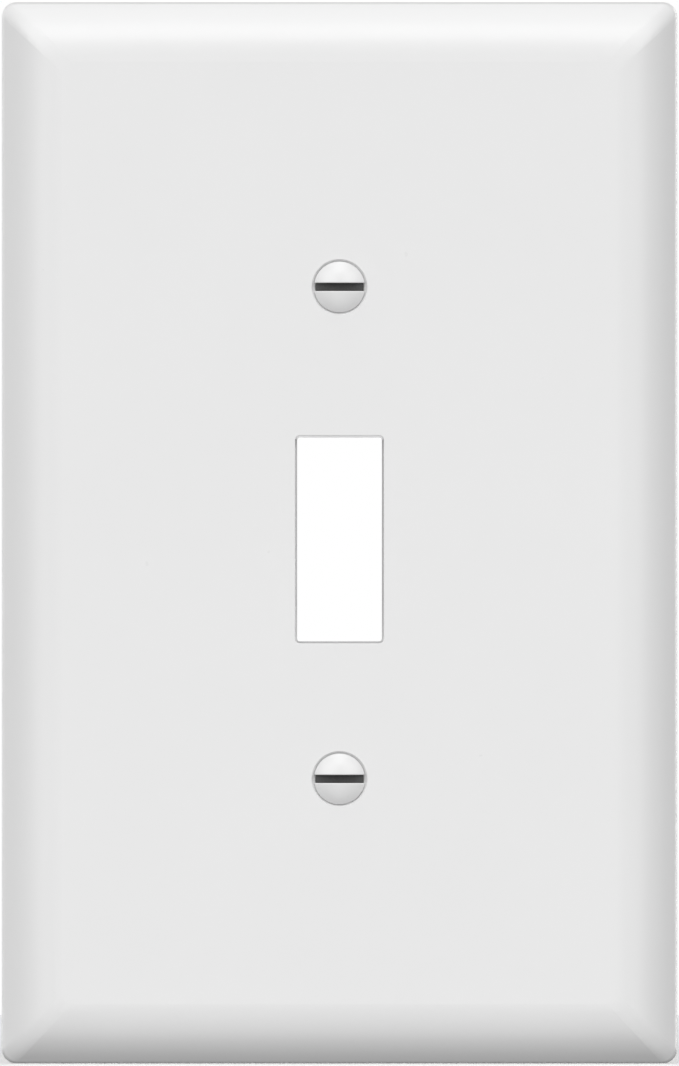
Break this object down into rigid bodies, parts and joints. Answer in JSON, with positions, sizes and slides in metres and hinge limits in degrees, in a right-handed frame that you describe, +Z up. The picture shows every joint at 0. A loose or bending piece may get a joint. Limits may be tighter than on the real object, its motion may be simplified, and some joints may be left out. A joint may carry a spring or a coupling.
{
  "type": "toggle switch wall plate",
  "caption": "Mid-size one-gang wall plate with a rolled bevel, a toggle opening, a hollow ribbed back and captive slotted oval-head screws.",
  "frame": {"origin": "in the plane of the wall, midway between the axes of the two screws", "axes": "+Z up, along the plate's height; +Y into the wall, so the plate faces -Y; +X to the right as the plate is looked at"},
  "size_m": [0.083, 0.0137, 0.1304],
  "materials": {
    "moulded_plastic": "white moulded thermoplastic, satin gloss with a very fine ripple",
    "painted_screw": "steel, zinc plated, with a white painted head",
    "fibre": "red vulcanised fibre, matt"
  },
  "bodies": {
    "plate": {"wall_plate": "moulded_plastic"},
    "upper_retainer": {"upper_washer": "fibre"},
    "upper_fastener": {"upper_screw": "painted_screw"},
    "lower_retainer": {"lower_washer": "fibre"},
    "lower_fastener": {"lower_screw": "painted_screw"}
  },
  "joints": [
    {"name": "upper_screw_slide", "type": "slide", "parent": "plate", "child": "upper_retainer", "axis": [0, -1, 0], "range_m": [0, 0.0017]},
    {"name": "upper_screw_turn", "type": "hinge", "parent": "upper_retainer", "child": "upper_fastener", "pos_m": [0, 0, 0.03016], "axis": [0, -1, 0], "continuous": true},
    {"name": "lower_screw_slide", "type": "slide", "parent": "plate", "child": "lower_retainer", "axis": [0, -1, 0], "range_m": [0, 0.0017]},
    {"name": "lower_screw_turn", "type": "hinge", "parent": "lower_retainer", "child": "lower_fastener", "pos_m": [0, 0, -0.03016], "axis": [0, -1, 0], "continuous": true}
  ]
}
